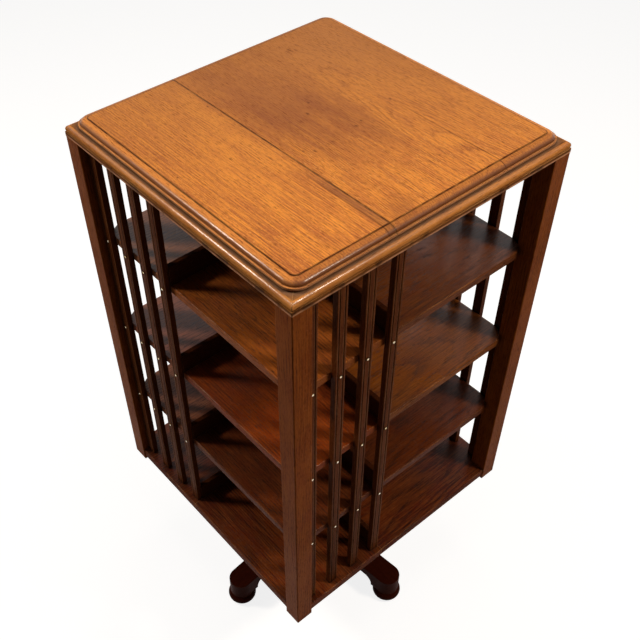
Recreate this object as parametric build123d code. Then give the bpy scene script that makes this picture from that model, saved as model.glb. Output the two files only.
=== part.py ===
from build123d import *
import os
from math import atan2, cos, degrees, radians, sin

# Revolving bookcase on a cross-shaped foot. Millimetres, +Z up.
# The origin is on the floor, on the axis that the case turns about.
# "front" is the -Y side, "right" the +X side, "back" the +Y side, "left" the -X side.
# The case is a pinwheel: everything on one side is repeated by quarter turns.

# Case
CASE_SIDE = 600.0            # over the outer faces of the corner posts
POST_SIDE = 38.0
POST_FOOT = 14.0             # how far a post reaches below the bottom boards
POST_EASE = 1.2              # chamfer along the long edges
TOE_STEPS = ((3.5, 25.0), (2.0, 58.0))  # rounding of the lower end: height and slope of each step
FLOOR_GAP = 319.0            # floor to the underside of the bottom boards
BOTTOM_T = 20.0              # thickness of the bottom boards
BOARD = 16.0                 # thickness of the shelves
BOARD_EASE = 1.0             # chamfer along the edges of boards
BOTTOM_INSET = 2.5           # bottom boards' edge behind the post faces
TIER_1_H = 197.0             # clear heights of the tiers, lowest first
TIER_2_H = 188.0
TIER_3_H = 206.0
TIER_4_H = 199.0
SHELF_BITE = 1.7             # how far a shelf's rounded corner would reach into its post
STOP_T = 11.0                # low rail that keeps the books off the next bay
STOP_H = 43.0
STOP_EASE = 1.5

# Slats, set out on the front side from the left
SLAT_W = 20.0
SLAT_T = 11.0
SLAT_RECESS = 14.5           # front of a slat behind the post faces
SLATS_PER_SIDE = 4
SLAT_FIRST = 50.0            # post's outer face to the first slat's middle
SLAT_LAST = 12.0             # column's face line to the last slat's middle, beside the open bay
REED_W = 2.0                 # the two grooves that reed the slat's front
REED_DEPTH = 1.1
REED_OFFSET = 5.6            # slat's middle to the middle of a groove
TENON_W = 12.0
TENON_T = 6.0
TENON_L = 8.0
TENON_PLAY = 0.15            # glue room round a tenon and at its end

# Brass screws that hold the shelves to the slats
SCREW_HEAD_D = 6.8
SCREW_TOP_D = 4.6
SCREW_HEAD_H = 2.0
SCREW_SIDES = 10

# Hollow column round the spindle
COLUMN_SIDE = 122.0
COLUMN_WALL = 16.0

# Mitred top frame
FRAME_H = 21.0
FRAME_W = 60.0
FRAME_LIP = 8.5              # square lip under the bead
BEAD_R = 8.0
BEAD_SET = 1.0               # bead's face behind the lip's
BEAD_START = -32.0           # angle at which the bead runs into its groove

# Top: a carrying board let into the frame, and two boards side by side on it
CARRIER_T = 15.0
CARRIER_LIFT = 3.0           # shadow gap between the frame and the top boards
CARRIER_EDGE = 22.0          # carrying board's edge behind the post faces
CARRIER_PLAY = 0.3
TOP_T = 14.0
TOP_INSET = 11.2             # top boards' edge behind the post faces
FIELD_CORNER_R = 10.0        # corner of the field, inside the ovolo
RIM_IN = 6.0                 # how far the swept moulding runs in under the field
FILLET_W = 3.3               # flat below the ovolo
OVOLO_W = 14.5
OVOLO_DROP = 8.8
QUIRK = 1.4                  # small step between the field and the ovolo
TOP_JOINT_X = -90.0          # where the two top boards meet
TOP_JOINT_GAP = 0.5          # the joint has opened a little with age

# Cross foot
CROSS_TURN = 5.8             # degrees that the cross is turned against the case at rest
ARM_W = 56.0
ARM_T = 22.0
ARM_TOP = 80.0               # height of the cross above the floor
ARM_REACH = 252.5            # axis to the middle of a foot
ARM_END_H = 47.0             # deep end of an arm, over the foot
ARM_COVE_R = 22.0
LAP_PLAY = 0.1

# Bun feet
FOOT_MAX_R = 33.5
FOOT_NECK_R = 28.0
FOOT_PAD_R = 21.0
FOOT_COLLAR = 4.0
DOWEL_R = 10.0
DOWEL_L = 18.0
DOWEL_PLAY = 0.15

# Turned pillar, steel spindle and its bearings
PILLAR_BASE_R = 62.0
PILLAR_FOOT_R = 46.0         # taper of the shaft, from its foot to its neck
PILLAR_NECK_R = 38.0
PILLAR_HEAD_R = 58.0
PILLAR_RING_H = 14.0         # square-edged rings at the pillar's two ends
SPINDLE_R = 10.0
SPINDLE_NUT_R = 18.0
SPINDLE_NUT_H = 9.0
SPINDLE_SEAT_PLAY = 0.2
RUNNING_PLAY = 0.05          # spindle in its two bushes
PLATE_R = 56.0
PLATE_T = 4.0
RACE_R = 40.0
RACE_H = 3.0
RACE_PLAY = 0.1              # between the two turning faces
BUSH_R = 17.0
BUSH_FLANGE_R = 26.0
BUSH_FLANGE_T = 3.0
BUSH_SEAT_PLAY = 0.05

# Heights and places that follow from the sizes above
half_case = CASE_SIDE / 2
post_inner = half_case - POST_SIDE
bottom_top = FLOOR_GAP + BOTTOM_T
slat_back = half_case - SLAT_RECESS - SLAT_T
slat_front = half_case - SLAT_RECESS
shelf_corner_r = (slat_back - post_inner - SHELF_BITE) / (1 - cos(radians(45)))
half_column = COLUMN_SIDE / 2
shelf_bottoms = [bottom_top + TIER_1_H]
for clear_height in (TIER_2_H, TIER_3_H):
    shelf_bottoms.append(shelf_bottoms[-1] + BOARD + clear_height)
frame_bottom = shelf_bottoms[-1] + BOARD + TIER_4_H
frame_top = frame_bottom + FRAME_H
carrier_top = frame_top + CARRIER_LIFT
carrier_bottom = carrier_top - CARRIER_T
top_height = carrier_top + TOP_T
foot_h = ARM_TOP - ARM_END_H
plate_bottom = FLOOR_GAP - 2 * PLATE_T - RACE_H - RACE_PLAY
SIDES = ("front", "right", "back", "left")
CORNERS = ("front_left", "front_right", "back_right", "back_left")
parts = {}


def block(x0, x1, y0, y1, z0, z1):
    """A box given by its two limits along each axis."""
    corner = Location((x0, y0, z0))
    return corner * Box(x1 - x0, y1 - y0, z1 - z0, align=(Align.MIN, Align.MIN, Align.MIN))


def disc(radius, z0, z1):
    """An upright cylinder on the turning axis."""
    return Location((0, 0, z0)) * Cylinder(radius, z1 - z0, align=(Align.CENTER, Align.CENTER, Align.MIN))


def turned(shape, quarter):
    """The shape of the front side, brought round to another side."""
    return Rot(0, 0, 90 * quarter) * shape


def corner_post():
    """Square post at the front left corner, eased along its edges and rounded off at its toe."""
    middle = -half_case + POST_SIDE / 2
    outline = Rectangle(POST_SIDE, POST_SIDE)
    outline = chamfer(outline.vertices(), POST_EASE)
    low = FLOOR_GAP - POST_FOOT + sum(height for height, slope in TOE_STEPS)
    post = Location((middle, middle, low)) * extrude(outline, frame_bottom - low)
    for height, slope in TOE_STEPS:
        step = extrude(outline, height, taper=slope)
        post += Location((middle, middle, low)) * Rot(180, 0, 0) * step
        outline = Location((0, 0, -height)) * step.faces().sort_by(Axis.Z)[-1]
        low -= height
    return post


def slat_positions():
    """Middles of the front side's slats, evenly spaced from the post to the open bay."""
    first = -half_case + SLAT_FIRST
    last = -half_column - SLAT_LAST
    pitch = (last - first) / (SLATS_PER_SIDE - 1)
    return [first + pitch * i for i in range(SLATS_PER_SIDE)]


def tenon(x, z0, z1, play):
    """The stub on a slat's end, or with some play the mortise that takes it."""
    middle = (slat_front + slat_back) / 2
    half_w = TENON_W / 2 + play
    half_t = TENON_T / 2 + play
    return block(x - half_w, x + half_w, -middle - half_t, -middle + half_t, z0, z1)


def slat(x):
    """Reeded slat: two round grooves leave a wide land between two narrow ones."""
    outline = Location((x, -(slat_front + slat_back) / 2, 0)) * Rectangle(SLAT_W, SLAT_T)
    groove_r = (REED_W ** 2 / 4 + REED_DEPTH ** 2) / (2 * REED_DEPTH)
    for side in (-1, 1):
        centre = (x + side * REED_OFFSET, -slat_front - groove_r + REED_DEPTH)
        outline -= Location((*centre, 0)) * Circle(groove_r)
    body = Location((0, 0, bottom_top)) * extrude(outline, frame_bottom - bottom_top)
    body += tenon(x, bottom_top - TENON_L, bottom_top, 0)
    body += tenon(x, frame_bottom, frame_bottom + TENON_L, 0)
    return body


def screw_head(x, z):
    """Brass screw head on a slat's face. A few flats stand for its round edge."""
    draw = degrees(atan2((SCREW_HEAD_D - SCREW_TOP_D) / 2, SCREW_HEAD_H))
    head = extrude(RegularPolygon(SCREW_HEAD_D / 2, SCREW_SIDES), SCREW_HEAD_H, taper=draw)
    return Location((x, -slat_front, z)) * Rot(90, 0, 0) * head


def shelf(bottom):
    """Board of the front bay: one rounded corner let against the front right post."""
    left = -half_column
    plan = Location(((left + slat_back) / 2, -(half_column + slat_back) / 2, 0))
    outline = plan * Rectangle(slat_back - left, slat_back - half_column)
    corner = outline.vertices().sort_by(lambda v: v.X - v.Y)[-1]
    outline = fillet(corner, shelf_corner_r)
    board = Location((0, 0, bottom)) * extrude(outline, BOARD)
    front_edges = board.edges().filter_by(Axis.X).group_by(Axis.Y)[0]
    board = chamfer(front_edges, BOARD_EASE)
    return board - turned(corner_post(), 1)


def stop_rail(bottom):
    """Low rail along a bay's inner edge."""
    rail = block(-half_column, slat_back, -half_column - STOP_T, -half_column, bottom, bottom + STOP_H)
    long_top_edges = rail.faces().sort_by(Axis.Z)[-1].edges().filter_by(Axis.X)
    return chamfer(long_top_edges, STOP_EASE)


def column_board():
    """One wall of the hollow column, butted against its neighbours in turn."""
    inner = half_column - COLUMN_WALL
    return block(-inner, half_column, -half_column, -inner, FLOOR_GAP, carrier_bottom)


def bottom_board():
    """Front one of the four boards of the bottom, laid round the column as the shelves are."""
    edge = half_case - BOTTOM_INSET
    board = block(-half_column, edge, -edge, -half_column, FLOOR_GAP, bottom_top)
    outer = board.faces().sort_by(Axis.Y)[0].edges().filter_by(Axis.X)
    outer += board.faces().sort_by(Axis.X)[-1].edges().filter_by(Axis.Y)
    board = chamfer(outer, BOARD_EASE)
    board -= block(post_inner, half_case, -half_case, -post_inner, FLOOR_GAP, bottom_top)
    # The slats of the next side stand on this board's end.
    for x in slat_positions():
        mortise = tenon(x, bottom_top - TENON_L - TENON_PLAY, bottom_top, TENON_PLAY)
        board -= turned(mortise, 1)
    return board


def top_rail():
    """Front member of the mitred frame: a bead over a square lip, with a fine groove between."""
    centre = (half_case - BEAD_SET - BEAD_R, frame_top - BEAD_R)
    start = (centre[0] + BEAD_R * cos(radians(BEAD_START)), centre[1] + BEAD_R * sin(radians(BEAD_START)))
    lip_top = frame_bottom + FRAME_LIP
    inner = half_case - FRAME_W
    with BuildSketch(Plane.YZ) as section:
        with BuildLine():
            Polyline((-inner, frame_top), (-inner, frame_bottom), (-half_case, frame_bottom),
                     (-half_case, lip_top), (-start[0], lip_top), (-start[0], start[1]))
            ThreePointArc((-start[0], start[1]), (-centre[0] - BEAD_R, centre[1]), (-centre[0], frame_top))
            Line((-centre[0], frame_top), (-inner, frame_top))
        make_face()
    bar = extrude(section.sketch, half_case, both=True)
    wedge = make_face(Polyline((-half_case, -half_case), (half_case, -half_case), (0, 0), close=True))
    rail = bar & (Location((0, 0, frame_bottom)) * extrude(wedge, FRAME_H))
    for x in slat_positions():
        rail -= tenon(x, frame_bottom, frame_bottom + TENON_L + TENON_PLAY, TENON_PLAY)
    return rail


def carrier():
    """Board let into the frame, with a lip that laps over it and carries the top boards."""
    inside = half_case - FRAME_W - CARRIER_PLAY
    over = half_case - CARRIER_EDGE
    board = block(-inside, inside, -inside, inside, carrier_bottom, frame_top)
    board += block(-over, over, -over, over, frame_top, carrier_top)
    board -= disc(BUSH_R + BUSH_SEAT_PLAY, carrier_bottom, carrier_top)
    return board - disc(BUSH_FLANGE_R + BUSH_SEAT_PLAY, carrier_top - BUSH_FLANGE_T, carrier_top)


def top_slab():
    """Whole moulded top before it is parted: a flat field inside a quirked ovolo edge."""
    edge = half_case - TOP_INSET
    toe = edge - FILLET_W
    field = toe - OVOLO_W
    ovolo_top = top_height - QUIRK
    ovolo_foot = ovolo_top - OVOLO_DROP
    rim_inner = field - RIM_IN
    with BuildSketch(Plane.XZ) as section:
        with BuildLine():
            Polyline((rim_inner, carrier_top), (edge, carrier_top), (edge, ovolo_foot), (toe, ovolo_foot))
            EllipticalCenterArc((field, ovolo_foot), OVOLO_W, OVOLO_DROP, start_angle=0, arc_size=90)
            Polyline((field, ovolo_top), (field, top_height), (rim_inner, top_height),
                     (rim_inner, carrier_top))
        make_face()
    path = RectangleRounded(2 * field, 2 * field, FIELD_CORNER_R).wire()
    rim = sweep(section.sketch, path=path)
    overlap = FIELD_CORNER_R - RIM_IN
    inner = RectangleRounded(2 * (field - overlap), 2 * (field - overlap), FIELD_CORNER_R - overlap)
    return rim + Location((0, 0, carrier_top)) * extrude(inner, TOP_T)


def cross_bar(upper):
    """One bar of the cross: deep round ends over the feet, coved up to a thin middle."""
    end = ARM_REACH + ARM_W / 2
    block_inner = ARM_REACH - ARM_W / 2
    cove_inner = block_inner - ARM_COVE_R
    under = ARM_TOP - ARM_T
    cove_low = under - ARM_COVE_R
    lap = ARM_TOP - ARM_T / 2
    with BuildSketch(Plane.XZ) as side_view:
        with BuildLine():
            Polyline((cove_inner, under), (0, under), (0, ARM_TOP), (end, ARM_TOP), (end, foot_h),
                     (block_inner, foot_h), (block_inner, cove_low))
            RadiusArc((block_inner, cove_low), (cove_inner, under), -ARM_COVE_R)
        make_face()
        mirror(about=Plane.YZ)
    bar = extrude(side_view.sketch, ARM_W / 2, both=True)
    plan = SlotCenterToCenter(2 * ARM_REACH, ARM_W)
    bar &= Location((0, 0, foot_h)) * extrude(plan, ARM_END_H)
    half_w = ARM_W / 2 + LAP_PLAY
    if upper:
        bar -= block(-half_w, half_w, -half_w, half_w, under, lap)
    else:
        bar -= block(-half_w, half_w, -half_w, half_w, lap, ARM_TOP)
    for side in (-1, 1):
        socket = disc(DOWEL_R + DOWEL_PLAY, foot_h, foot_h + DOWEL_L + DOWEL_PLAY)
        bar -= Location((side * ARM_REACH, 0, 0)) * socket
    return bar - disc(SPINDLE_R + SPINDLE_SEAT_PLAY, under, ARM_TOP)


def bun_foot():
    """Turned bun foot with a short collar and the dowel that holds it."""
    belly = foot_h - FOOT_COLLAR
    with BuildSketch(Plane.XZ) as section:
        with BuildLine():
            Line((0, 0), (FOOT_PAD_R, 0))
            ThreePointArc((FOOT_PAD_R, 0), (FOOT_MAX_R, belly / 2), (FOOT_NECK_R, belly))
            Polyline((FOOT_NECK_R, belly), (FOOT_NECK_R, foot_h), (DOWEL_R, foot_h),
                     (DOWEL_R, foot_h + DOWEL_L), (0, foot_h + DOWEL_L), (0, 0))
        make_face()
    return revolve(section.sketch, Axis.Z)


def pillar():
    """Turned pillar between the cross and the case: a taper between two rings, bored for the spindle."""
    top = plate_bottom
    body = disc(PILLAR_BASE_R, ARM_TOP, ARM_TOP + PILLAR_RING_H)
    body += disc(PILLAR_HEAD_R, top - PILLAR_RING_H, top)
    shaft_h = top - ARM_TOP - 2 * PILLAR_RING_H
    shaft = Cone(PILLAR_FOOT_R, PILLAR_NECK_R, shaft_h, align=(Align.CENTER, Align.CENTER, Align.MIN))
    body += Location((0, 0, ARM_TOP + PILLAR_RING_H)) * shaft
    return body - disc(SPINDLE_R + SPINDLE_SEAT_PLAY, ARM_TOP, top)


def spindle():
    """Steel spindle, fast in the cross by a nut below, running up to the top bush."""
    under = ARM_TOP - ARM_T
    rod = disc(SPINDLE_R, under, carrier_top - BUSH_FLANGE_T)
    nut = Location((0, 0, under - SPINDLE_NUT_H)) * extrude(RegularPolygon(SPINDLE_NUT_R, 6), SPINDLE_NUT_H)
    return rod + nut


def lower_plate():
    """Steel plate on the pillar, with the raised track that carries the case."""
    plate = disc(PLATE_R, plate_bottom, plate_bottom + PLATE_T)
    race = disc(RACE_R, plate_bottom + PLATE_T, plate_bottom + PLATE_T + RACE_H)
    return plate + race - disc(SPINDLE_R + SPINDLE_SEAT_PLAY, plate_bottom, FLOOR_GAP)


def upper_plate():
    """Plate across the column's lower end, with the lower bush standing up inside the column."""
    plate = disc(PLATE_R, FLOOR_GAP - PLATE_T, FLOOR_GAP)
    bush = disc(BUSH_R, FLOOR_GAP, bottom_top)
    return plate + bush - disc(SPINDLE_R + RUNNING_PLAY, FLOOR_GAP - PLATE_T, bottom_top)


def top_bush():
    """Flanged bush in the carrying board, round the spindle's upper end."""
    flange_low = carrier_top - BUSH_FLANGE_T
    body = disc(BUSH_R, carrier_bottom, carrier_top)
    body += disc(BUSH_FLANGE_R, flange_low, carrier_top)
    return body - disc(SPINDLE_R + RUNNING_PLAY, carrier_bottom, carrier_top)


# Case, one side after another
for quarter, side in enumerate(SIDES):
    parts["corner_post_" + CORNERS[quarter]] = turned(corner_post(), quarter)
    for number, x in enumerate(slat_positions(), 1):
        parts[f"slat_{side}_{number}"] = turned(slat(x), quarter)
    for number, bottom in enumerate(shelf_bottoms, 1):
        parts[f"shelf_{number}_{side}"] = turned(shelf(bottom), quarter)
    parts["bottom_board_" + side] = turned(bottom_board(), quarter)
    parts["top_rail_" + side] = turned(top_rail(), quarter)

floors = [bottom_top] + [bottom + BOARD for bottom in shelf_bottoms]
for number, floor in enumerate(floors):
    rails = [turned(stop_rail(floor), quarter) for quarter in range(4)]
    parts[f"stop_rails_tier_{number + 1}"] = Compound(children=rails)

screws = []
for quarter in range(4):
    for x in slat_positions():
        for bottom in shelf_bottoms:
            screws.append(turned(screw_head(x, bottom + BOARD / 2), quarter))
parts["slat_screws"] = Compound(children=screws)

parts["column_boards"] = Compound(children=[turned(column_board(), quarter) for quarter in range(4)])
parts["carrier_board"] = carrier()
slab = top_slab()
reach = half_case
parts["top_board_narrow"] = slab & block(-reach, TOP_JOINT_X - TOP_JOINT_GAP / 2, -reach, reach,
                                         carrier_top, top_height)
parts["top_board_wide"] = slab & block(TOP_JOINT_X + TOP_JOINT_GAP / 2, reach, -reach, reach,
                                       carrier_top, top_height)
parts["upper_bearing_plate"] = upper_plate()
parts["top_bush"] = top_bush()

# Foot, turned a little against the case
cross = Rot(0, 0, CROSS_TURN)
parts["cross_bar_lower"] = cross * cross_bar(upper=False)
parts["cross_bar_upper"] = cross * Rot(0, 0, 90) * cross_bar(upper=True)
for quarter in range(4):
    place = cross * Rot(0, 0, 90 * quarter) * Location((ARM_REACH, 0, 0))
    parts[f"bun_foot_{quarter + 1}"] = place * bun_foot()
parts["pillar"] = pillar()
parts["spindle"] = spindle()
parts["lower_bearing_plate"] = lower_plate()

os.makedirs("parts", exist_ok=True)
for name, shape in parts.items():
    export_step(shape, f"parts/{name}.step")
print(len(parts), "nodes, height", top_height)
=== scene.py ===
# %% [markdown]
# # A revolving bookcase
#
# The object is a square oak bookcase that turns on a cross-shaped foot. Its solids come from the packed
# model, with every post, slat and shelf as a piece of its own. This script gives them their wood, brass and
# steel, makes the slotted screws, and sets up the camera and the light.

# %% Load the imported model
from math import cos, radians, sin, tau

import bpy
from mathutils import Matrix, Vector


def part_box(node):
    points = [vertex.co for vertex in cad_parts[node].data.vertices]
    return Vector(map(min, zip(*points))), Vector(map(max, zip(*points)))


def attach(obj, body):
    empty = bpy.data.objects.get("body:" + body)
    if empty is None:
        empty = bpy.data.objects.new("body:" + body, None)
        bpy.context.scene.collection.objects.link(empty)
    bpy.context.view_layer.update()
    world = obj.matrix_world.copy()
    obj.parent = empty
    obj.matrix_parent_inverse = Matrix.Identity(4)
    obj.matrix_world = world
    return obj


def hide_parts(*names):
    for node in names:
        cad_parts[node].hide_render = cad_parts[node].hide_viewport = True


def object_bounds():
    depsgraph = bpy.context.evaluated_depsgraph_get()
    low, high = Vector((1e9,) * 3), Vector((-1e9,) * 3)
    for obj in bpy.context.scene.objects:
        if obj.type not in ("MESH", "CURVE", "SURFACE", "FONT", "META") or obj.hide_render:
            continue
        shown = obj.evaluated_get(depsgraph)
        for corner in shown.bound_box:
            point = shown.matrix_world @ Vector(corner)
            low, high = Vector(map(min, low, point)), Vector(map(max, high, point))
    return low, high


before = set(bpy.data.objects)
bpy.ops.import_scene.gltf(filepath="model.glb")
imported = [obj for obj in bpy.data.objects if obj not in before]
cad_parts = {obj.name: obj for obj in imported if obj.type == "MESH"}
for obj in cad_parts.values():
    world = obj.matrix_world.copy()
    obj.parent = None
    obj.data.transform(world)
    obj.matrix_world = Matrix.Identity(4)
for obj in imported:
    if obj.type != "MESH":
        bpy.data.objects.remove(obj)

cad_low, cad_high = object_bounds()
SIDES = ("front", "right", "back", "left")
CORNERS = ("front_left", "front_right", "back_right", "back_left")

# %% [markdown]
# ## Camera
#
# The photograph was taken standing, looking down over the near corner. Its straight edges fix where the
# camera stood, which way it looked and how wide its lens was. The picture was also cut off centre, which in
# Blender is the lens shift. The camera is turned by its own three axes: right, up and back.

# %% Place the camera
CAMERA_PLACE = Vector((-0.861809, -0.984184, 2.020112))
AZIMUTH, ELEVATION, ROLL = radians(-39.031), radians(46.718), radians(-1.418)
PICTURE = 640                # pixels along each side
FOCAL = 899.245              # pixels
CENTRE_X, CENTRE_Y = 289, 367
SENSOR = 36                  # millimetres

back = Vector((sin(AZIMUTH) * cos(ELEVATION), -cos(AZIMUTH) * cos(ELEVATION), sin(ELEVATION)))
level = Vector((cos(AZIMUTH), sin(AZIMUTH), 0))
upright = back.cross(level)
right = cos(ROLL) * level + sin(ROLL) * upright
up = cos(ROLL) * upright - sin(ROLL) * level

lens = bpy.data.cameras.new("camera")
lens.sensor_width = SENSOR
lens.lens = FOCAL / PICTURE * SENSOR
lens.shift_x = (PICTURE / 2 - CENTRE_X) / PICTURE
lens.shift_y = (CENTRE_Y - PICTURE / 2) / PICTURE
camera = bpy.data.objects.new("camera", lens)
bpy.context.collection.objects.link(camera)
camera.matrix_world = Matrix.Translation(CAMERA_PLACE) @ Matrix((right, up, back)).transposed().to_4x4()
bpy.context.scene.camera = camera
bpy.context.scene.view_settings.view_transform = "Standard"
print("lens", round(lens.lens, 1), "mm, shift", round(lens.shift_x, 3), round(lens.shift_y, 3))

# %% [markdown]
# ## Two small tools for materials
#
# Colours are written as sRGB hex values, and one function turns them into the linear light that the
# renderer counts in. The other adds a node, sets it up and joins its sockets. It takes the sockets in their
# order or by name, and gives each a number, a colour, another node's output, or simply another node, whose
# output in use is then taken.

# %% Colours and nodes
def linear(code):
    """Linear colour of an sRGB hex value."""
    values = [int(code[i:i + 2], 16) / 255 for i in (1, 3, 5)]
    return [v / 12.92 if v <= 0.04045 else ((v + 0.055) / 1.055) ** 2.4 for v in values] + [1.0]


def add(tree, kind, sockets=(), **settings):
    """Adds a node, with its settings, and fills or joins the sockets that are given."""
    node = tree.nodes.new("ShaderNode" + kind)
    for key, value in settings.items():
        setattr(node, key, value)
    for key, value in sockets.items() if isinstance(sockets, dict) else enumerate(sockets):
        socket = node.inputs[key]
        if isinstance(key, str):
            socket = next(s for s in node.inputs if s.name == key and s.enabled)
        if isinstance(value, bpy.types.Node):
            value = next(s for s in value.outputs if s.enabled)
        if isinstance(value, bpy.types.NodeSocket):
            tree.links.new(value, socket)
        else:
            socket.default_value = linear(value) if isinstance(value, str) else value
    return node


print("golden oak, #CA793F, is", [round(v, 3) for v in linear("#CA793F")], "in linear light")

# %% [markdown]
# ## Floor, backdrop and light
#
# The object is shown on white. The floor is a pale, plain sheet. To the camera, and in reflections, a
# little light of its own lifts it to white, while it still takes the bookcase's soft shadow.

# %% Floor
FLOOR_SIZE = 40
SHEET = "#95938F"            # as it lights the object
SHEET_SEEN = "#ABABAB"       # as the camera sees it, below its glow
GLOW = 0.84


def bare_material(name):
    """A new material with nothing in its node tree yet."""
    material = bpy.data.materials.new(name)
    material.use_nodes = True
    material.node_tree.nodes.clear()
    return material, material.node_tree


def seen_directly(tree):
    """1 for rays from the camera, a reflection or through glass, otherwise 0."""
    path = add(tree, "LightPath").outputs
    either = add(tree, "Math", (path["Is Camera Ray"], path["Is Glossy Ray"]), operation="MAXIMUM")
    return add(tree, "Math", (either, path["Is Transmission Ray"]), operation="MAXIMUM")


bpy.ops.object.select_all(action="DESELECT")
bpy.ops.mesh.primitive_plane_add(size=FLOOR_SIZE)
floor = bpy.context.object
floor.name = "floor"
paper, tree = bare_material("white_studio_floor")
sheet = add(tree, "BsdfDiffuse", {"Color": SHEET})
bright_sheet = add(tree, "BsdfDiffuse", {"Color": SHEET_SEEN})
glow = add(tree, "Emission", {"Color": "#FFFFFF", "Strength": GLOW})
white = add(tree, "AddShader", (bright_sheet, glow))
shown = add(tree, "MixShader", (seen_directly(tree), sheet, white))
add(tree, "OutputMaterial", {"Surface": shown})
floor.data.materials.append(paper)
print("floor", FLOOR_SIZE, "m across")

# %% [markdown]
# The world beyond the floor does the same: the camera sees it white, and the object only gets a low, even
# light from it.

# %% World
AMBIENT = 0.05
world = bpy.data.worlds.new("studio")
world.use_nodes = True
bpy.context.scene.world = world
tree = world.node_tree
tree.nodes.clear()
ambient = add(tree, "Background", {"Color": "#F4F6FF", "Strength": AMBIENT})
backdrop = add(tree, "Background", {"Color": "#FFFFFF", "Strength": 1.0})
shown = add(tree, "MixShader", (seen_directly(tree), ambient, backdrop))
add(tree, "OutputWorld", {"Surface": shown})
print("ambient light", AMBIENT)

# %% [markdown]
# The photograph's light comes from above: the top is bright, the sides fall off and the bays are nearly
# black. A wide, weak lamp overhead fills the top in softly. A smaller and stronger one stands high at each
# seen side. Both are steep, so they reach the posts and the shelves' edges and leave the bays dark.

# %% Lamps
LAMP_AIM = Vector((0, 0, 0.8))
# Name, place, width, power in watts and colour
LAMPS = (
    ("ceiling", (0.1, 0.0, 3.3), 1.8, 19.0, "#FFF6EA"),
    ("left_lamp", (-1.75, 1.80, 3.00), 0.50, 45.0, "#FFF4E6"),
    ("front_lamp", (1.12, -2.00, 3.18), 0.50, 49.0, "#FFF0DC"),
)
for name, place, size, power, colour in LAMPS:
    lamp = bpy.data.lights.new(name, "AREA")
    lamp.shape = "DISK"
    lamp.size = size
    lamp.energy = power
    lamp.color = linear(colour)[:3]
    holder = bpy.data.objects.new(name, lamp)
    bpy.context.collection.objects.link(holder)
    holder.location = place
    holder.rotation_euler = (Vector(place) - LAMP_AIM).to_track_quat("Z", "Y").to_euler()
print("lamps:", [lamp[0] for lamp in LAMPS])

# %% [markdown]
# ## Oak
#
# Oak is ring-porous. Each year it lays down a band of wide vessels and then dense wood, and a saw that
# cuts along the trunk opens those vessels as short dark dashes, in lines that follow the rings. The grain
# is made of noise that is stretched along the board, so each of its patterns has a width and a length. They
# are real sizes in metres, apart from the pores, which are drawn wider so that they show. Noise mostly lies
# between 0.3 and 0.7, so a Map Range between two such limits sets how much of the wood a pattern covers.

# %% Sizes in the grain
PORE = (0.0009, 0.013)       # real vessels are 0.2 to 0.4 mm wide
FIBRE = (0.0026, 0.08)
FLECK = (0.0013, 0.005)      # pale flecks in the dense wood
WARM = (0.022, 0.05)         # small redder patches
BLOTCH = (0.13, 0.26)        # patches where the finish took up unevenly
BEND = (0.20, 0.9)           # slow wander of the grain
BEND_REACH = 0.05
UNEVEN = (0.018, 0.045)      # small unevenness of the rings
UNEVEN_REACH = 0.0022
FADE_OUT = (0.03, 0.09)      # patches where the rings hardly show


def grain_coordinates(tree, run, turn):
    """Place in the board: across, across and along the grain, in metres."""
    place = add(tree, "TexCoord").outputs["Object"]
    turned = add(tree, "Mapping", {"Vector": place, "Rotation": (0, 0, -radians(turn))})
    split = add(tree, "SeparateXYZ", (turned,)).outputs
    order = {"X": (1, 2, 0), "Y": (0, 2, 1), "Z": (0, 1, 2)}[run]
    return add(tree, "CombineXYZ", [split[axis] for axis in order]).outputs[0]


def streaks(tree, place, size, seed, detail=2.0, roughness=0.5):
    """Noise whose patches have a width and a length, with its own part of the pattern for each seed."""
    width, length = size
    scaled = add(tree, "Mapping", {"Vector": place, "Location": (3.1 * seed, 1.7 * seed, 5.3 * seed),
                                   "Scale": (1 / width, 1 / width, 1 / length)})
    return add(tree, "TexNoise", {"Vector": scaled, "Scale": 1.0, "Detail": detail, "Roughness": roughness})


print("pores", round(PORE[0] * 1000, 2), "mm wide and", round(PORE[1] * 1000), "mm long")

# %% [markdown]
# The rings are distances from the heart of the tree, which is given for each board. A board can so be cut
# near the heart, where the rings make arches, or far from it, where they are straight lines. The heart
# leans a little against the board, which draws the arches out. A colour ramp over each year's ring gives
# the porous band. The dashes stand close in that band and thinly in the rest.

# %% Rings and pores
RING_STOPS = ((0.0, 1), (0.42, 0), (0.86, 0), (1.0, 1))  # part of the year, and how porous
RINGS_SEEN = (0.15, 1.0)     # how much the rings show, from patch to patch
PORE_LIMITS = (0.62, 0.52)   # noise above which a pore lies, in dense and in porous wood


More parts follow.
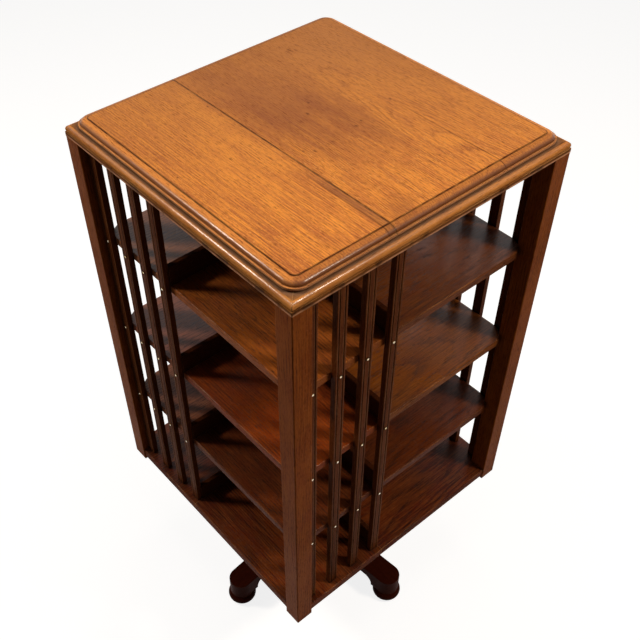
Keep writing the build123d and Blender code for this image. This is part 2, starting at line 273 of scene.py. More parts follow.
def early_wood(tree, place, pith, slope, ring, seed):
    """1 in the porous start of each year's ring, 0 in the dense rest."""
    wander = streaks(tree, place, BEND, seed).outputs["Color"]
    bent = add(tree, "VectorMath", (wander, (BEND_REACH, BEND_REACH, 0), place), operation="MULTIPLY_ADD")
    shake = streaks(tree, place, UNEVEN, seed + 5, detail=3.0).outputs["Color"]
    bent = add(tree, "VectorMath", (shake, (UNEVEN_REACH, UNEVEN_REACH, 0), bent), operation="MULTIPLY_ADD")
    from_pith = add(tree, "VectorMath", (bent, (*pith, 0)), operation="SUBTRACT")
    across = add(tree, "VectorMath", (from_pith, (1, 1, 0)), operation="MULTIPLY")
    radius = add(tree, "VectorMath", (across,), operation="LENGTH").outputs["Value"]
    along = add(tree, "SeparateXYZ", (place,)).outputs[2]
    leaned = add(tree, "Math", (along, slope, radius), operation="MULTIPLY_ADD")
    years = add(tree, "Math", (leaned, ring), operation="DIVIDE")
    part = add(tree, "Math", (years,), operation="FRACT")
    band = add(tree, "ValToRGB", (part,))
    stops = band.color_ramp.elements
    stops.remove(stops[1])
    for position, porous in RING_STOPS:
        stop = stops.new(position) if position else stops[0]
        stop.color = (porous, porous, porous, 1)
    patches = streaks(tree, place, FADE_OUT, seed + 6)
    seen = add(tree, "MapRange", (patches, 0.35, 0.62, *RINGS_SEEN))
    return add(tree, "Math", (band, seen), operation="MULTIPLY")


def open_pores(tree, place, early, seed):
    """1 in the dashes that the saw opened, 0 beside them."""
    vessel = streaks(tree, place, PORE, seed + 2, detail=1.0)
    limit = add(tree, "MapRange", (early, 0.0, 1.0, *PORE_LIMITS))
    above = add(tree, "Math", (vessel, limit), operation="SUBTRACT")
    return add(tree, "MapRange", (above, -0.07, 0.10))


print("the porous band takes", RING_STOPS[1][0], "of a year's ring at most")

# %% [markdown]
# Use shows on the wood as well. Hands rub the finish thin along the arrises, so they turn lighter. The
# corners are painted darker, for the dust and old wax in them and also as painted shade. The Bevel node
# finds the first and the Ambient Occlusion node the second.

# %% Wear and dirt
WEAR_WIDTH = 0.0020
RUB = (0.02, 0.07)           # stretches where the finish was rubbed through
# Laid in the corners for old wax and dust, and also as painted shade.
WAX_AND_SHADE = "#140904"              # old wax and dust


def coat(tree, colour, over, where, strength=1.0):
    """Lays stain, wear or dirt over a colour, where the mask says and at most as strongly as given."""
    cover = add(tree, "Math", (where, strength), operation="MULTIPLY")
    return add(tree, "Mix", {"Factor": cover, "A": colour, "B": over}, data_type="RGBA")


def worn_arrises(tree, place, seed):
    """1 on a rubbed arris, 0 elsewhere, with gaps where the finish has held; and the rounded normal."""
    rounded = add(tree, "Bevel", {"Radius": WEAR_WIDTH}, samples=6)
    sharp = add(tree, "NewGeometry").outputs["Normal"]
    same = add(tree, "VectorMath", (rounded, sharp), operation="DOT_PRODUCT").outputs["Value"]
    edge = add(tree, "MapRange", (same, 0.99, 0.85))
    patches = streaks(tree, place, RUB, seed + 3, detail=3.0)
    rubbed = add(tree, "MapRange", (patches, 0.42, 0.60))
    return add(tree, "Math", (edge, rubbed), operation="MULTIPLY"), rounded


def dirt_and_shade_in_corners(tree, reach):
    """1 deep in a corner, where dirt and painted shade are laid, 0 in the open."""
    openness = add(tree, "AmbientOcclusion", {"Distance": reach}, samples=6).outputs["AO"]
    return add(tree, "MapRange", (openness, 0.95, 0.45))


print("arrises rubbed", round(WEAR_WIDTH * 1000, 1), "mm wide")

# %% [markdown]
# The stain gives the wood two tones, one for the dense wood and one for the porous bands. Fibres draw fine
# lines between them, and blotches shift the balance from place to place. Small patches are redder, and
# pale flecks of the dense wood shine through.

# %% Stain
RING_TONE = 0.5              # share of the rings in the figure
FIBRE_TONE = (-0.35, 0.9)    # share of the fibres, from the palest to the darkest
REDDEST = 0.45               # how strong the redder patches are


def stained(tree, place, early, seed, dense, porous, redder, worn, figure, cloud, flecks):
    """Colour of the stained wood, and its fibres and blotches, which the gloss and relief follow too."""
    fibre = streaks(tree, place, FIBRE, seed + 1, detail=4.0, roughness=0.6)
    blotch = streaks(tree, place, BLOTCH, seed + 4, detail=3.0)
    tone = add(tree, "Math", (early, figure * RING_TONE), operation="MULTIPLY")
    lines = add(tree, "MapRange", (fibre, 0.3, 0.7, *(figure * share for share in FIBRE_TONE)))
    tone = add(tree, "Math", (tone, lines), operation="ADD")
    clouds = add(tree, "MapRange", (blotch, 0.3, 0.7, -cloud, cloud))
    tone = add(tree, "Math", (tone, clouds), operation="ADD", use_clamp=True)
    colour = coat(tree, dense, porous, tone)
    warm = streaks(tree, place, WARM, seed + 7, detail=3.0, roughness=0.6)
    colour = coat(tree, colour, redder, add(tree, "MapRange", (warm, 0.42, 0.68, 0.0, REDDEST)))
    light = streaks(tree, place, FLECK, seed + 8)
    colour = coat(tree, colour, worn, add(tree, "MapRange", (light, 0.56, 0.70, 0.0, flecks)))
    return colour, fibre, blotch


print("redder patches", round(WARM[0] * 1000), "mm wide, blotches", round(BLOTCH[0] * 1000), "mm")

# %% [markdown]
# One function brings these together as a finished oak: stained, shellacked and waxed. The pores stay
# darkest, because stain and wax sit in them. Shellac reflects like most clear finishes, with an index of
# about 1.5, but old wax over it leaves only a soft sheen, so its level is lower and its roughness middling.
# Where hands or books have polished it, it shines more, and a high polish rubs the fibres smooth as well.

# %% A finished oak
RELIEF = 0.00014             # height of the fibres and depth of the pores
RELIEF_SEEN = 0.5            # strength of the bump
PORE_ROUGH = 0.15            # how much rougher an open pore is
UNEVEN_GLOSS = (-0.06, 0.08)  # how the roughness differs between blotches


def oak(name, dense, porous, pore, worn, redder, run="Z", turn=0.0, seed=0, pith=(0.25, -0.2), slope=0.03,
        ring=0.0046, figure=0.5, cloud=0.4, pores=0.5, wear=0.5, dirt_and_shade=0.6, dirt_and_shade_reach=0.012, flecks=0.3,
        rough=0.42, sheen=0.01, marks=None, polish=None, polished_rough=0.16, polished_sheen=0.30):
    """Material of a stained and waxed oak board whose grain runs along one axis."""
    material, tree = bare_material(name)
    place = grain_coordinates(tree, run, turn)
    early = early_wood(tree, place, pith, slope, ring, seed)
    dash = open_pores(tree, place, early, seed)
    colour, fibre, blotch = stained(tree, place, early, seed, dense, porous, redder, worn, figure, cloud,
                                    flecks)
    if marks:
        colour = marks(tree, colour)
    colour = coat(tree, colour, pore, dash, pores)
    arris, rounded = worn_arrises(tree, place, seed)
    colour = coat(tree, colour, worn, arris, wear)
    # Corners are painted darker: dust and old wax, and painted shade.
    colour = coat(tree, colour, WAX_AND_SHADE, dirt_and_shade_in_corners(tree, dirt_and_shade_reach), dirt_and_shade)

    gloss = add(tree, "MapRange", (blotch, 0.3, 0.7, *(rough + more for more in UNEVEN_GLOSS)))
    gloss = add(tree, "Math", (dash, PORE_ROUGH, gloss), operation="MULTIPLY_ADD", use_clamp=True)
    depth = RELIEF_SEEN
    if polish:
        rubbed = polish(tree)
        sheen = add(tree, "MapRange", (rubbed, 0.0, 1.0, sheen, polished_sheen))
        gloss = add(tree, "Math", (rubbed, polished_rough - rough, gloss), operation="MULTIPLY_ADD",
                    use_clamp=True)
        if polished_rough < rough / 2:
            depth = add(tree, "Math", (rubbed, -RELIEF_SEEN, RELIEF_SEEN), operation="MULTIPLY_ADD")
    height = add(tree, "Math", (fibre, 0.5), operation="MULTIPLY")
    height = add(tree, "Math", (height, dash), operation="SUBTRACT")
    relief = add(tree, "Bump", {"Strength": depth, "Distance": RELIEF, "Height": height, "Normal": rounded})
    surface = add(tree, "BsdfPrincipled", {"Base Color": colour, "Roughness": gloss, "Normal": relief,
                                           "Specular IOR Level": sheen})
    add(tree, "OutputMaterial", {"Surface": surface})
    return material


print("pores up to", round(RELIEF * 1000, 2), "mm deep")

# %% [markdown]
# Polish doesn't lie everywhere. It needs to know which way a face looks: the crown of a moulding leans
# outwards, and the upper face of a board looks straight up. The height of the true normal tells both. The
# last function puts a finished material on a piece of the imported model.

# %% Where a face looks, and dressing a piece
def faces_up(tree, least, most):
    """0 where a face leans over further than the cosine least, 1 from the cosine most on."""
    normal = add(tree, "NewGeometry").outputs["Normal"]
    height = add(tree, "SeparateXYZ", (normal,)).outputs[2]
    return add(tree, "MapRange", (height, least, most))


def crown(tree):
    """1 on the crown of a moulding, which hands take hold of and polish."""
    not_upright, not_level = faces_up(tree, 0.45, 0.60), faces_up(tree, 0.95, 0.86)
    return add(tree, "Math", (not_upright, not_level), operation="MULTIPLY")


def finish(node, material):
    """Puts a material on every slot of a CAD node."""
    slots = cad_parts[node].material_slots
    for slot in slots:
        slot.material = material
    if not slots:
        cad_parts[node].data.materials.append(material)


print("pieces to dress:", len(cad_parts))

# %% [markdown]
# ## Top
#
# The top is glued up from a narrow and a wide board, inside a moulded edge. Its marks follow two shapes,
# which are made here first: the distance to a square with rounded corners, which the quirk and the
# moulding run along, and a ragged spot, for stains and pin knots. Dirt lies in soft, broken lines.

# %% Shapes of the marks
DIRT_PATCHES = 45.0          # in a metre
RAGGED = 2.4                 # how far noise moves the rim of a spot


def axes(tree):
    """The three coordinates, in metres."""
    return add(tree, "SeparateXYZ", (add(tree, "TexCoord").outputs["Object"],)).outputs


def past_rounded_square(tree, half, radius):
    """Distance past a square with rounded corners, seen from above. Well inside it, minus the radius."""
    core = half - radius
    on_level = add(tree, "CombineXYZ", axes(tree)[:2])
    mirrored = add(tree, "VectorMath", (on_level,), operation="ABSOLUTE")
    past = add(tree, "VectorMath", (mirrored, (core, core, 0)), operation="SUBTRACT")
    outside = add(tree, "VectorMath", (past, (0, 0, 0)), operation="MAXIMUM")
    reach = add(tree, "VectorMath", (outside,), operation="LENGTH").outputs["Value"]
    return add(tree, "Math", (reach, radius), operation="SUBTRACT")


def line_of_dirt(tree, offset, half_width, strength):
    """A soft dark line where offset is near 0, broken up a little along its run."""
    away = add(tree, "Math", (offset,), operation="ABSOLUTE")
    line = add(tree, "MapRange", (away, half_width * 1.6, half_width * 0.4, 0.0, strength))
    place = add(tree, "TexCoord").outputs["Object"]
    patches = add(tree, "TexNoise", {"Vector": place, "Scale": DIRT_PATCHES, "Detail": 3.0})
    broken = add(tree, "MapRange", (patches, 0.30, 0.55, 0.45, 1.0))
    return add(tree, "Math", (line, broken), operation="MULTIPLY")


def spot(tree, x, y, half_x, half_y):
    """1 in the middle of a ragged oval, 0 outside it, with streaks along the grain."""
    place = add(tree, "TexCoord").outputs["Object"]
    drawn_out = add(tree, "Mapping", {"Vector": place, "Scale": (1.4 / half_x, 0.5 / half_x, 1.0)})
    ragged = add(tree, "TexNoise", {"Vector": drawn_out, "Scale": 1.0, "Detail": 6.0, "Roughness": 0.7})
    away = add(tree, "VectorMath", (place, (x, y, 0)), operation="SUBTRACT")
    scaled = add(tree, "VectorMath", (away, (1 / half_x, 1 / half_y, 0)), operation="MULTIPLY")
    reach = add(tree, "VectorMath", (scaled,), operation="LENGTH").outputs["Value"]
    reach = add(tree, "Math", (reach, RAGGED / 2), operation="SUBTRACT")
    reach = add(tree, "Math", (ragged, RAGGED, reach), operation="MULTIPLY_ADD")
    return add(tree, "MapRange", (reach, 1.3, 0.2))


FIELD_HALF = 0.271           # middle of the top to the quirk
FIELD_ROUND = 0.010
print("flat field", round(FIELD_HALF * 2000), "mm across")

# %% [markdown]
# Dirt has darkened the open joint of the boards, a second line beside it near the front, a short split
# near the right edge, and the quirk, which is the small step round the flat field. The hollow at the foot
# of the moulding is darkened too, by dirt and by painted shade. The moulding itself shows long grain on two
# sides and darker end grain on the other two, and the wood turns from one to the other at the corners. Its
# long-grain sides are also painted lighter and its end-grain sides darker, as painted light and shade.

# %% Moulding and lines of dirt on the top
TOP_Z = cad_high[2]
MOULDING_W = 0.0145          # quirk to the foot of the ovolo
JOINT_X = -0.090
SECOND_X = JOINT_X - 0.0135
SPLIT_X = 0.150
GRIME_AND_SHADE = "#42190A"
# Long-grain sides painted lighter, end-grain sides darker: end grain together with painted light and shade.
LIT_LONG_GRAIN, SHADED_END_GRAIN = "#F09C50", "#A06438"
# Half width and strength of each line
JOINT_LINE, SECOND_LINE, SPLIT_LINE, QUIRK_LINE = (0.0016, 0.9), (0.0012, 0.6), (0.0009, 0.85), (0.0013, 0.8)
SPLIT_RUN = ((0.0, -0.05), (-0.03, -0.23, 0.2, 1.0))     # along Y, where it starts and how it deepens
HOLLOW = ((-0.0055, -0.0015), (0.0009, 0.0001))          # past the moulding's foot, inner and outer limits
# The hollow at the moulding's foot is darkened for dirt and as painted shade.
HOLLOW_DIRT_AND_SHADE = 0.7


def on_moulding(tree):
    """0 on the flat field, 1 on the moulded edge."""
    return add(tree, "MapRange", (past_rounded_square(tree, FIELD_HALF, FIELD_ROUND), 0.0, 0.002))


def moulding_tone_light_and_shade(tree, x, y):
    """Darker on the two sides where the boards show their end grain, lighter on the long-grain sides: partly
    the wood, partly painted light and shade.
    """
    from_side = add(tree, "Math", (x,), operation="ABSOLUTE")
    from_front = add(tree, "Math", (y,), operation="ABSOLUTE")
    past_corner = add(tree, "Math", (from_front, from_side), operation="SUBTRACT")
    return coat(tree, LIT_LONG_GRAIN, SHADED_END_GRAIN, add(tree, "MapRange", (past_corner, -0.004, 0.004)))


def grime_and_shade_lines(tree, x, y, near_front):
    """Lines of grime on the top, and the painted shade in the hollow, each with its strength."""
    joint, second, split = (
        line_of_dirt(tree, add(tree, "Math", (x, middle), operation="SUBTRACT"), *line)
        for middle, line in ((JOINT_X, JOINT_LINE), (SECOND_X, SECOND_LINE), (SPLIT_X, SPLIT_LINE)))
    second = add(tree, "Math", (second, near_front), operation="MULTIPLY")
    for limits in SPLIT_RUN:
        split = add(tree, "Math", (split, add(tree, "MapRange", (y, *limits))), operation="MULTIPLY")
    quirk = line_of_dirt(tree, past_rounded_square(tree, FIELD_HALF, FIELD_ROUND), *QUIRK_LINE)
    foot = past_rounded_square(tree, FIELD_HALF + MOULDING_W, FIELD_ROUND + MOULDING_W)
    # The hollow on the steep foot of the ovolo: dirt with painted shade.
    inner, outer = (add(tree, "MapRange", (foot, *limits)) for limits in HOLLOW)
    shaded_hollow = add(tree, "Math", (inner, outer), operation="MULTIPLY")
    return (joint, 1.0), (second, 1.0), (split, 1.0), (quirk, 1.0), (shaded_hollow, HOLLOW_DIRT_AND_SHADE)


print("the boards' joint lies", round(-JOINT_X * 1000), "mm left of the middle")

# %% [markdown]
# Light has bleached the top golden, and it is the brightest part. Old wax has dulled it a little all over,
# and painted shade makes it browner towards the back right. It has large brownish stains and a dozen pin
# knots and dents. Beside the joint, near the front, the wood is grey.

# %% Marks of age on the top
# BACK_SHADE is painted shade, laid on more towards the back right.
BACK_SHADE, DULLED, GREYED = "#A4682C", "#C4845A", "#77503A"
STAIN = "#7E4630"
FILLET_DUST = "#C89470"
DULL, GREY, SPECK, EDGE_TONE, DUSTY = 0.22, 0.45, 0.7, 0.5, 0.7      # strengths of these coats
SKEW = 0.7                   # the painted shade deepens towards the back right corner
BACK_SHADE_RUN = (-0.34, 0.30, 0.0, 0.85)
FILLET_Z = TOP_Z - 0.0100    # flat below the ovolo
NEAR_FRONT = (-0.08, -0.16)
GREY_STRIP = ((-0.016, -0.012), (0.004, 0.0))            # from the joint, its two soft sides
# Stains: middle, half sizes and strength
STAINS = (
    (-0.045, 0.045, 0.050, 0.120, 0.300),
    (0.045, 0.010, 0.045, 0.080, 0.390),
    (0.062, -0.080, 0.030, 0.060, 0.270),
    (-0.060, -0.262, 0.035, 0.038, 0.390),
    (-0.055, 0.235, 0.040, 0.050, 0.300),
    (-0.005, 0.100, 0.090, 0.200, 0.432),
)
# Pin knots and dents: place and radius
SPECKS = (
    (-0.256, 0.024, 0.0030), (-0.164, 0.010, 0.0034), (0.038, 0.056, 0.0034), (0.014, 0.030, 0.0042),
    (-0.050, -0.062, 0.0042), (-0.064, -0.050, 0.0026), (0.049, -0.052, 0.0040), (0.066, -0.045, 0.0034),
    (0.131, 0.220, 0.0030), (0.150, -0.028, 0.0040), (-0.098, 0.160, 0.0028), (0.090, -0.200, 0.0026),
)


def top_marks(tree, colour):
    """Painted shade towards the back, stains, pin knots, the moulding's colour with its painted light and
    shade, and lines of grime with the painted shade in the hollow.
    """
    x, y, z = axes(tree)
    towards_back = add(tree, "Math", (x, SKEW, y), operation="MULTIPLY_ADD")
    colour = coat(tree, colour, BACK_SHADE, add(tree, "MapRange", (towards_back, *BACK_SHADE_RUN)))
    colour = coat(tree, colour, DULLED, DULL)
    for stain_x, stain_y, half_x, half_y, strength in STAINS:
        colour = coat(tree, colour, STAIN, spot(tree, stain_x, stain_y, half_x, half_y), strength)
    for speck_x, speck_y, radius in SPECKS:
        colour = coat(tree, colour, GRIME_AND_SHADE, spot(tree, speck_x, speck_y, radius * 0.6, radius), SPECK)

    from_joint = add(tree, "Math", (x, JOINT_X), operation="SUBTRACT")
    near_front = add(tree, "MapRange", (y, *NEAR_FRONT))
    strip = near_front
    for limits in GREY_STRIP:
        strip = add(tree, "Math", (strip, add(tree, "MapRange", (from_joint, *limits))), operation="MULTIPLY")
    colour = coat(tree, colour, GREYED, strip, GREY)
    colour = coat(tree, colour, moulding_tone_light_and_shade(tree, x, y), on_moulding(tree), EDGE_TONE)
    for line, strength in grime_and_shade_lines(tree, x, y, near_front):
        colour = coat(tree, colour, GRIME_AND_SHADE, line, strength)
    fillet = add(tree, "MapRange", (z, FILLET_Z, FILLET_Z - 0.0008))
    return coat(tree, colour, FILLET_DUST, fillet, DUSTY)


print("marks on the top:", len(STAINS), "stains,", len(SPECKS), "pin knots and dents")

# %% [markdown]
# The narrow board was cut far from the heart and has straight lines. The wide one was cut nearer to it,
# and shows arches towards the right. Both get the same finish, and hands have polished the crown of their
# moulded edge.

# %% Oak for the top
def moulding_polish(tree):
    """1 on the crown of the moulded edge, 0 on the field."""
    return add(tree, "Math", (crown(tree), on_moulding(tree)), operation="MULTIPLY")


GOLD = dict(dense="#FFA23A", porous="#A2542A", pore="#6A3416", worn="#FFB85E", redder="#BA6030", run="Y",
            figure=1.0, cloud=0.3, pores=0.65, flecks=0.6, polished_sheen=0.2, rough=0.36, sheen=0.05,
            wear=0.35, dirt_and_shade=0.4, marks=top_marks, polish=moulding_polish)
finish("top_board_narrow", oak("golden_oak_narrow_board", seed=1, pith=(-0.62, TOP_Z - 0.2), ring=0.0042,
                               **GOLD))
finish("top_board_wide", oak("golden_oak_wide_board", seed=2, pith=(0.160, TOP_Z - 0.022), ring=0.0034,
                             slope=0.07, **GOLD))

# %% [markdown]
# ## Case
#
# The mitred frame under the top is golden too, a little less bright. Its ledge, which the top leaves
# uncovered, is flat, painted darker for dust and as painted shade, and holds grey dust near the top's edge.
# The square lip under its bead is painted dark as painted shade, chipped here and there, and has a painted
# highlight as a pale line along its lower arris.

# %% Oak for the mitred frame
LEDGE_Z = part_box("top_rail_front")[1][2]
LEDGE_HALF = 0.2925          # middle of the frame to where the bead starts
LIP_Z = LEDGE_Z - 0.0125     # top of the square lip under the bead
TOP_EDGE = 0.2888            # middle of the top to the edge of its boards
TOP_ROUND = 0.0278
LEDGE_PATCHES = 38.0         # in a metre
# The ledge's darker tone is dust and painted shade; the lip's dark tone is painted shade, its pale arris line
# a painted highlight.
DUSTY_SHADED_LEDGE, DUST = "#80583A", "#8C6850"
LIP_SHADE, CHIP, ARRIS_HIGHLIGHT = "#5E3010", "#2A140A", "#E8A880"
DUSTY_SHADING, LIP_SHADING, CHIPPED = 0.8, 0.85, 0.7                    # strengths of these coats


def ledge_dust_shade_and_highlight(tree, colour):
    """Dust and painted shade on the ledge round the top; painted shade, chips and a painted highlight on the
    lip.
    """
    z = axes(tree)[2]
    place = add(tree, "TexCoord").outputs["Object"]
    patches = add(tree, "TexNoise", {"Vector": place, "Scale": LEDGE_PATCHES, "Detail": 4.0})
    on_top = add(tree, "MapRange", (z, LEDGE_Z - 0.0018, LEDGE_Z - 0.0004))
    inside = add(tree, "MapRange", (past_rounded_square(tree, LEDGE_HALF, 0.001), 0.0005, -0.0010))
    flat = add(tree, "Math", (inside, on_top), operation="MULTIPLY")
    colour = coat(tree, colour, DUSTY_SHADED_LEDGE, flat, DUSTY_SHADING)
    near_top = add(tree, "MapRange", (past_rounded_square(tree, TOP_EDGE, TOP_ROUND), 0.0085, 0.0030))
    dust = add(tree, "Math", (near_top, on_top), operation="MULTIPLY")
    dust_patches = add(tree, "MapRange", (patches, 0.35, 0.6, 0.4, 0.85))
    colour = coat(tree, colour, DUST, add(tree, "Math", (dust, dust_patches), operation="MULTIPLY"))

    # The lip below the bead is painted dark: painted shade.
    lip = add(tree, "MapRange", (z, LIP_Z + 0.0008, LIP_Z - 0.0004))
    colour = coat(tree, colour, LIP_SHADE, lip, LIP_SHADING)
    chips = add(tree, "MapRange", (patches, 0.55, 0.61))
    colour = coat(tree, colour, CHIP, add(tree, "Math", (chips, lip), operation="MULTIPLY"), CHIPPED)
    # A pale line on the lip's lower arris: a painted highlight.
    arris_highlight_band = add(tree, "MapRange", (z, LIP_Z - 0.0048, LIP_Z - 0.0058))
    highlight_patches = add(tree, "MapRange", (patches, 0.62, 0.45, 0.3, 0.9))
    rubbed = add(tree, "Math", (arris_highlight_band, highlight_patches), operation="MULTIPLY")
    rubbed = add(tree, "Math", (rubbed, faces_up(tree, -0.6, -0.3)), operation="MULTIPLY")
    return coat(tree, colour, ARRIS_HIGHLIGHT, rubbed)


FRAME_OAK = dict(dense="#DC9048", porous="#A46232", pore="#5A3016", worn="#F0B878", redder="#A45E2C",
                 rough=0.4, cloud=0.3, wear=0.5, dirt_and_shade=0.35, marks=ledge_dust_shade_and_highlight, polish=crown,
                 polished_sheen=0.32)
ALONG = {"front": "X", "right": "Y", "back": "X", "left": "Y"}
for quarter, side in enumerate(SIDES):
    finish("top_rail_" + side, oak("golden_oak_rail_" + side, run=ALONG[side], seed=10 + quarter,
                                   pith=(0.1, 1.0), **FRAME_OAK))
print("ledge of the frame", round(LEDGE_Z * 1000), "mm above the floor")

# %% [markdown]
# Below the frame the oak was stained darker and redder, and has seen less light. The grain runs up the
# posts and slats, which were cut near the heart. The slats are the most handled pieces, and show the most
# wear on their arrises and the most darkening in their reeds, which is dirt and painted shade together.

# %% Oak for posts, slats and column
UPRIGHT_OAK = dict(dense="#97501E", porous="#6A3414", pore="#2E1409", worn="#A86A3E", redder="#7A3414",
                   rough=0.40, figure=0.8, pores=0.6)
for quarter, corner in enumerate(CORNERS):
    finish("corner_post_" + corner, oak("stained_oak_post_" + corner, run="Z", seed=20 + quarter,
                                        pith=(0.05, 0.02), slope=0.02, **UPRIGHT_OAK))
SLAT_OAK = oak("stained_oak_slats", dense="#6E3917", porous="#43200C", pore="#1A0B05", worn="#A06B40",
               redder="#5A2610", run="Z", seed=30, pith=(0.02, 0.03), slope=0.02, rough=0.38, figure=0.8,
               wear=0.9, dirt_and_shade=0.95)
for side in SIDES:
    for number in range(1, 5):
        finish(f"slat_{side}_{number}", SLAT_OAK)
# The column is coloured nearly black, as painted shade deep in the case.
finish("column_boards", oak("stained_oak_column", dense="#4A2410", porous="#30150A", pore="#160804",
                            worn="#7A4A2A", redder="#3C160A", run="Z", seed=31, pith=(0.2, 0.3), rough=0.5))
print("uprights: 4 posts, 16 slats and the column")

# %% [markdown]
# The boards go round the column as a pinwheel, and the grain of each runs along its length. Each tier has
# its own tones, and some boards differ from the rest of their tier: the lower tiers are coloured darker and
# single boards lighter or darker, as painted light and shade. Books have polished their upper faces, the
# upper tiers most. The rails behind the books are coloured nearly black, as painted shade, and stay dull.

# %% Oak for shelves, bottom and stop rails
def shelf_polish(tree):
    """1 on the upper face of a board, on which books slide, 0 on its edges."""
    return faces_up(tree, 0.8, 0.97)


# The boards' corner darkening reaches far, so they turn darker deep in the case: painted shade.
BOARD_OAK = dict(pore="#2A1208", worn="#C08450", figure=1.1, pores=0.8, flecks=0.12, wear=1.0,
                 dirt_and_shade_reach=0.05, polish=shelf_polish, polished_rough=0.27)
# From the bottom boards upwards: dense wood, porous bands, redder patches, and sheen before and after polish;
# the lower tiers' darker tones are painted shade
TIERS = (
    ("#84421C", "#361208", "#681C0A", 0.01, 0.22),
    ("#74391A", "#4A220E", "#5E200C", 0.03, 0.22),
    ("#8A4A20", "#5A2C13", "#702C12", 0.03, 0.38),
    ("#824721", "#562C14", "#6A2F18", 0.03, 0.38),
)
# Boards coloured lighter or darker than the rest of their tier, as painted light and shade
LIT_AND_SHADED_TONES = {
    "shelf_3_back": ("#A86A44", "#74452C", "#8A5038"),
    "shelf_2_back": ("#A86244", "#743F2C", "#8A4838"),
    "shelf_1_back": ("#9C5C38", "#6C3C28", "#824630"),
    "shelf_3_left": ("#AC5E24", "#743C15", "#8A4020"),
    "shelf_2_left": ("#984619", "#62290F", "#7A260C"),
    "shelf_2_front": ("#9F5920", "#66381A", "#7C3A1A"),
}
for quarter, side in enumerate(SIDES):
    for tier, (*tones, sheen, polished_sheen) in enumerate(TIERS):
        node = f"shelf_{tier}_{side}" if tier else "bottom_board_" + side
        dense, porous, redder = LIT_AND_SHADED_TONES.get(node, tones)
        board_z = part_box(node)[0][2]
        finish(node, oak("stained_oak_" + node, dense, porous, redder=redder, run=ALONG[side], slope=0.03,
                         seed=40 + 4 * tier + quarter, pith=(0.12 * (quarter - 1.5), board_z - 0.16),
                         sheen=sheen, polished_sheen=polished_sheen, **BOARD_OAK))
finish("carrier_board", oak("stained_oak_carrier", dense="#8A5430", porous="#6E3E20", pore="#160804",
                            worn="#7A4A2A", redder="#4A1E0E", run="Y", seed=70, pith=(0.1, 1.0)))
# The stop rails are coloured nearly black, as painted shade behind the books.
for number in range(1, 5):
    finish(f"stop_rails_tier_{number}",
           oak(f"stained_oak_stop_rails_{number}", dense="#46220F", porous="#2E1409", pore="#180904",
               worn="#7A4A2A", redder="#3A1408", run="X", seed=72 + number, pith=(0.02, number * 0.2)))
print("boards:", len(SIDES) * len(TIERS), "of which", len(LIT_AND_SHADED_TONES), "in tones of their own")

# %% [markdown]
# ## Foot
#
# The foot is coloured darkest of all, partly as painted shade under the case. Its two bars cross at an
# angle to the case, so their grain is turned by the same angle. The four bun feet and the pillar were turned
# on a lathe, with the grain upright.

# %% Oak for the foot
FOOT_OAK = dict(dense="#40160A", porous="#280C05", pore="#120503", worn="#7A4028", redder="#340A05",
                flecks=0.1)
CROSS_TURN = 5.8             # degrees
for node, name, run, seed in (("cross_bar_lower", "dark_oak_lower_bar", "X", 80),
                              ("cross_bar_upper", "dark_oak_upper_bar", "Y", 81)):
    finish(node, oak(name, run=run, turn=CROSS_TURN, seed=seed, pith=(0.1, -0.1), **FOOT_OAK))
turned_oak = oak("dark_oak_turnings", run="Z", seed=82, pith=(0.3, 0.2), **FOOT_OAK)
for node in ("bun_foot_1", "bun_foot_2", "bun_foot_3", "bun_foot_4", "pillar"):
    finish(node, turned_oak)
print("the cross is turned", CROSS_TURN, "degrees against the case")

# %% [markdown]
# ## Metal
#
# The spindle and its plates are plain mild steel, turned on a lathe, dulled by old grease. The top bush is
# brass. Lathe marks run round the axis, so they follow the distance from it. They are 0.4 mm apart, and
# tarnish lies over them in soft patches.

# %% Steel and brass
LATHE_MARKS = 2500.0         # marks in a metre
LATHE_DEPTH = 0.00008
TARNISH_PATCHES = 60.0       # in a metre
TARNISH_ROUGH = 0.25         # how much rougher tarnish is than bare metal


def turned_metal(name, bright, dull, rough):
    """Metal with fine lathe marks round the turning axis and patches of tarnish."""
    material, tree = bare_material(name)
    place = add(tree, "TexCoord").outputs["Object"]
    flat = add(tree, "VectorMath", (place, (1, 1, 0)), operation="MULTIPLY")
    radius = add(tree, "VectorMath", (flat,), operation="LENGTH").outputs["Value"]
    marks = add(tree, "TexNoise", {"W": radius, "Scale": LATHE_MARKS, "Detail": 3.0}, noise_dimensions="1D")
    patches = add(tree, "TexNoise", {"Vector": place, "Scale": TARNISH_PATCHES, "Detail": 4.0})
    tarnish = add(tree, "MapRange", (patches, 0.42, 0.62))
    colour = coat(tree, bright, dull, tarnish)
    gloss = add(tree, "MapRange", (tarnish, 0.0, 1.0, rough, rough + TARNISH_ROUGH))
    relief = add(tree, "Bump", {"Strength": 0.4, "Distance": LATHE_DEPTH, "Height": marks})
    surface = add(tree, "BsdfPrincipled", {"Base Color": colour, "Metallic": 1.0, "Roughness": gloss,
                                           "Normal": relief})
    add(tree, "OutputMaterial", {"Surface": surface})
    return material


greased_steel = turned_metal("greased_mild_steel", "#8B8986", "#4A423A", 0.35)
for node in ("spindle", "lower_bearing_plate", "upper_bearing_plate"):
    finish(node, greased_steel)
finish("top_bush", turned_metal("aged_brass", "#D8B468", "#8A6A34", 0.3))
print("lathe marks", 1000 / LATHE_MARKS, "mm apart")

# %% [markdown]
# ## Screws
#
# The shelves are held by small round-headed brass screws through the slats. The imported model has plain
# heads there. One real head is made here from a disc, whose upper face is drawn in and raised in steps.

# %% A disc with a raised crown
HEAD_R = 0.0034
HEAD_H = 0.0020
HEAD_EDGE_H = HEAD_H * 0.2   # straight edge of the disc under the crown
CROWN_STEPS = ((0.16, 0.34), (0.24, 0.28), (0.30, 0.14), (0.18, 0.04))  # inset in radii, rise in heights

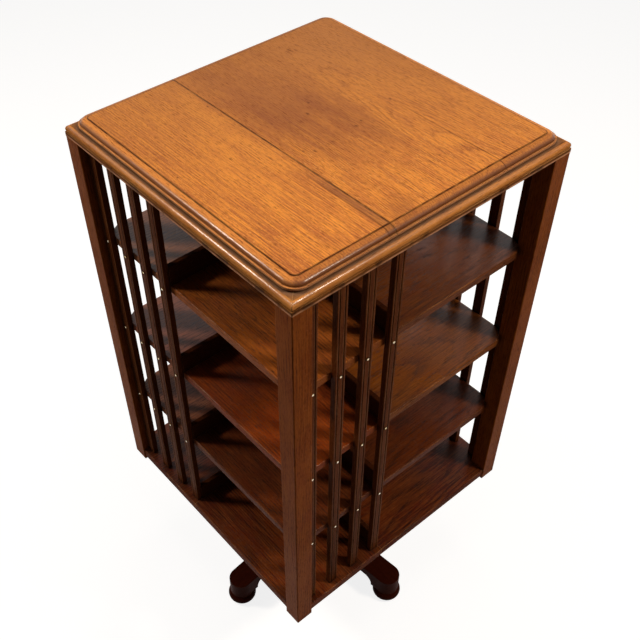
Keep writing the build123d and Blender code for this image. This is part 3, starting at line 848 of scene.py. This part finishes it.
bpy.ops.object.select_all(action="DESELECT")
bpy.ops.mesh.primitive_cylinder_add(vertices=20, radius=HEAD_R, depth=HEAD_EDGE_H,
                                    location=(0, 0, HEAD_EDGE_H / 2))
head = bpy.context.object
bpy.ops.object.transform_apply(location=True, rotation=True, scale=True)
bpy.ops.object.mode_set(mode="EDIT")
bpy.ops.mesh.select_mode(type="FACE")
bpy.ops.mesh.select_all(action="DESELECT")
bpy.ops.object.mode_set(mode="OBJECT")
for face in head.data.polygons:
    face.select = face.normal.z > 0.9
bpy.ops.object.mode_set(mode="EDIT")
for inset, rise in CROWN_STEPS:
    bpy.ops.mesh.inset(thickness=inset * HEAD_R)
    bpy.ops.transform.translate(value=(0, 0, rise * HEAD_H))
print("crown of", len(CROWN_STEPS), "steps,", round(HEAD_H * 1000, 1), "mm high")

# %% [markdown]
# Two planes cut the crown on both sides of the slot, and the faces between them are pushed in. The crown is
# coloured near white, rubbed brass with a painted highlight on it, and the rim dark brown, tarnish with
# painted shade, so the head has two materials.

# %% The slot, and brass on the head
SLOT_HALF = 0.00035
SLOT_DEPTH = 0.0009
HIGHLIGHT_R = HEAD_R * 0.6

for sign in (-1, 1):
    bpy.ops.mesh.select_all(action="SELECT")
    bpy.ops.mesh.bisect(plane_co=(0, sign * SLOT_HALF, 0), plane_no=(0, 1, 0))
bpy.ops.mesh.select_all(action="DESELECT")
bpy.ops.object.mode_set(mode="OBJECT")
for face in head.data.polygons:
    face.select = face.normal.z > 0.3 and abs(face.center.y) < SLOT_HALF
bpy.ops.object.mode_set(mode="EDIT")
bpy.ops.mesh.extrude_region_move(TRANSFORM_OT_translate={"value": (0, 0, -SLOT_DEPTH)})
bpy.ops.object.mode_set(mode="OBJECT")
# The crown's near-white brass is a painted highlight, the rim's dark brass is tarnish with painted shade.
head.data.materials.append(turned_metal("brass_with_painted_highlight", "#FFF4DC", "#F0D8A8", 0.28))
head.data.materials.append(turned_metal("tarnished_brass_with_painted_shade", "#5A3A1C", "#2A160A", 0.45))
for face in head.data.polygons:
    face.material_index = 1 if face.center.xy.length > HIGHLIGHT_R else 0
print("one head:", len(head.data.polygons), "faces")

# %% [markdown]
# A screw stops wherever it bites, so no two slots lie alike. Each copy is turned by its own amount, laid on
# its slat and brought round to its side.

# %% Forty-eight heads
SLAT_FACE = 0.2855           # middle of the case to the face of the slats
copies = []
for quarter in range(len(SIDES)):
    for slat_number in range(1, 5):
        slat_low, slat_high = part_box(f"slat_front_{slat_number}")
        for level_number in range(1, 4):
            shelf_low, shelf_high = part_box(f"shelf_{level_number}_front")
            place = ((slat_low[0] + slat_high[0]) / 2, -SLAT_FACE, (shelf_low[2] + shelf_high[2]) / 2)
            spin = (slat_number * 2.4 + level_number * 1.7 + quarter * 0.9) % tau
            stand = (Matrix.Rotation(quarter * tau / 4, 4, "Z") @ Matrix.Translation(place)
                     @ Matrix.Rotation(tau / 4, 4, "X") @ Matrix.Rotation(spin, 4, "Z"))
            copy = bpy.data.objects.new("head", head.data.copy())
            bpy.context.collection.objects.link(copy)
            copy.data.transform(stand)
            copies.append(copy)
bpy.ops.object.select_all(action="DESELECT")
head.select_set(True)
bpy.ops.object.delete()
for copy in copies:
    copy.select_set(True)
bpy.context.view_layer.objects.active = copies[0]
bpy.ops.object.join()
screws = bpy.context.object
screws.name = "slotted_brass_screws"
bpy.ops.object.shade_smooth_by_angle(angle=radians(35))
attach(screws, "case")
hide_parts("slat_screws")
print("screws:", len(copies), "heads,", len(screws.data.polygons), "faces")
